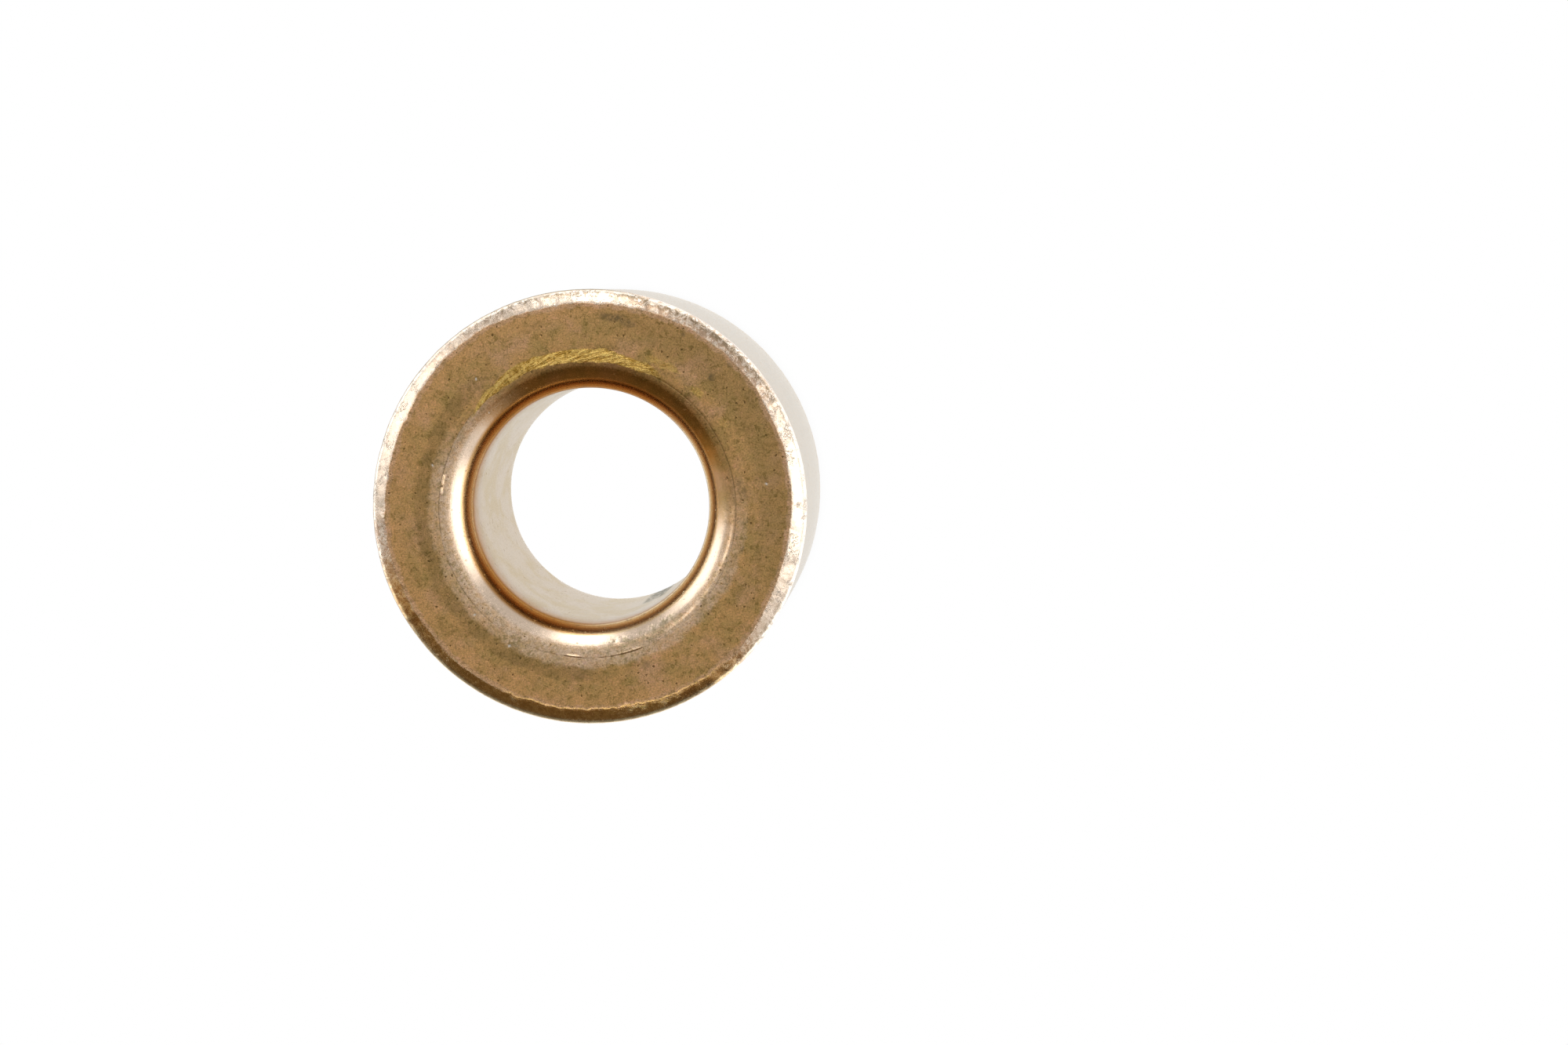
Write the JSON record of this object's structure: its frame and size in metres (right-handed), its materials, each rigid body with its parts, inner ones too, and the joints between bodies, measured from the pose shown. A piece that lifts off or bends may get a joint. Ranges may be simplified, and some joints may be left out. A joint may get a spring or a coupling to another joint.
{
  "type": "sleeve bushing",
  "caption": "Plain cylindrical sleeve bushing in porous bronze, with a rounded bell mouth at each end of its bore and narrow broken outer edges.",
  "frame": {"origin": "centre of the lower end, on the bore's axis", "axes": "+Z along the bore, from the lower end to the upper end; X and Y are any pair across it, because the sleeve is round"},
  "size_m": [0.022, 0.022, 0.02],
  "materials": {
    "bronze": "satin"
  },
  "bodies": {
    "root": {"bushing_sleeve": "bronze"}
  },
  "joints": []
}
